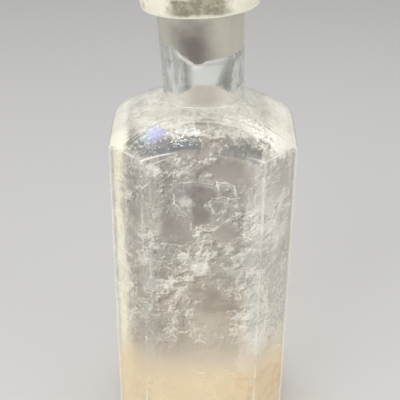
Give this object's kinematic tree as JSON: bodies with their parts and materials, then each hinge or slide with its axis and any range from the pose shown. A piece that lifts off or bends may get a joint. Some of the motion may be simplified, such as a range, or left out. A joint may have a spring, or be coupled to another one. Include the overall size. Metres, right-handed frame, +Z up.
{
  "type": "apothecary bottle",
  "caption": "Tall square druggist bottle of clear glass with broad bevelled corners, domed shoulder, applied lip and a ground-glass stopper that lifts out.",
  "frame": {"origin": "centre of the base's footprint, on the surface that the bottle stands on", "axes": "+Z up along the square body, -Y out of the front panel, +X to the right as seen from the front"},
  "size_m": [0.066, 0.066, 0.1961],
  "materials": {
    "clear_glass": "old colourless blown glass, glossy outside, hazed with white mineral film inside",
    "lip_glass": "thick glossy glass, fire-polished and tooled",
    "ground_glass": "polished head, satin ground plug",
    "tan_crust": "dry, powdery tan crust"
  },
  "bodies": {
    "bottle": {"bottle_body": "clear_glass", "applied_lip": "lip_glass", "dried_residue": "tan_crust"},
    "stopper": {"stopper": "ground_glass"}
  },
  "joints": [
    {"name": "stopper_lift", "type": "slide", "parent": "bottle", "child": "stopper", "axis": [-0.0523, 0, 0.9986], "range_m": [0, 0.06]}
  ]
}
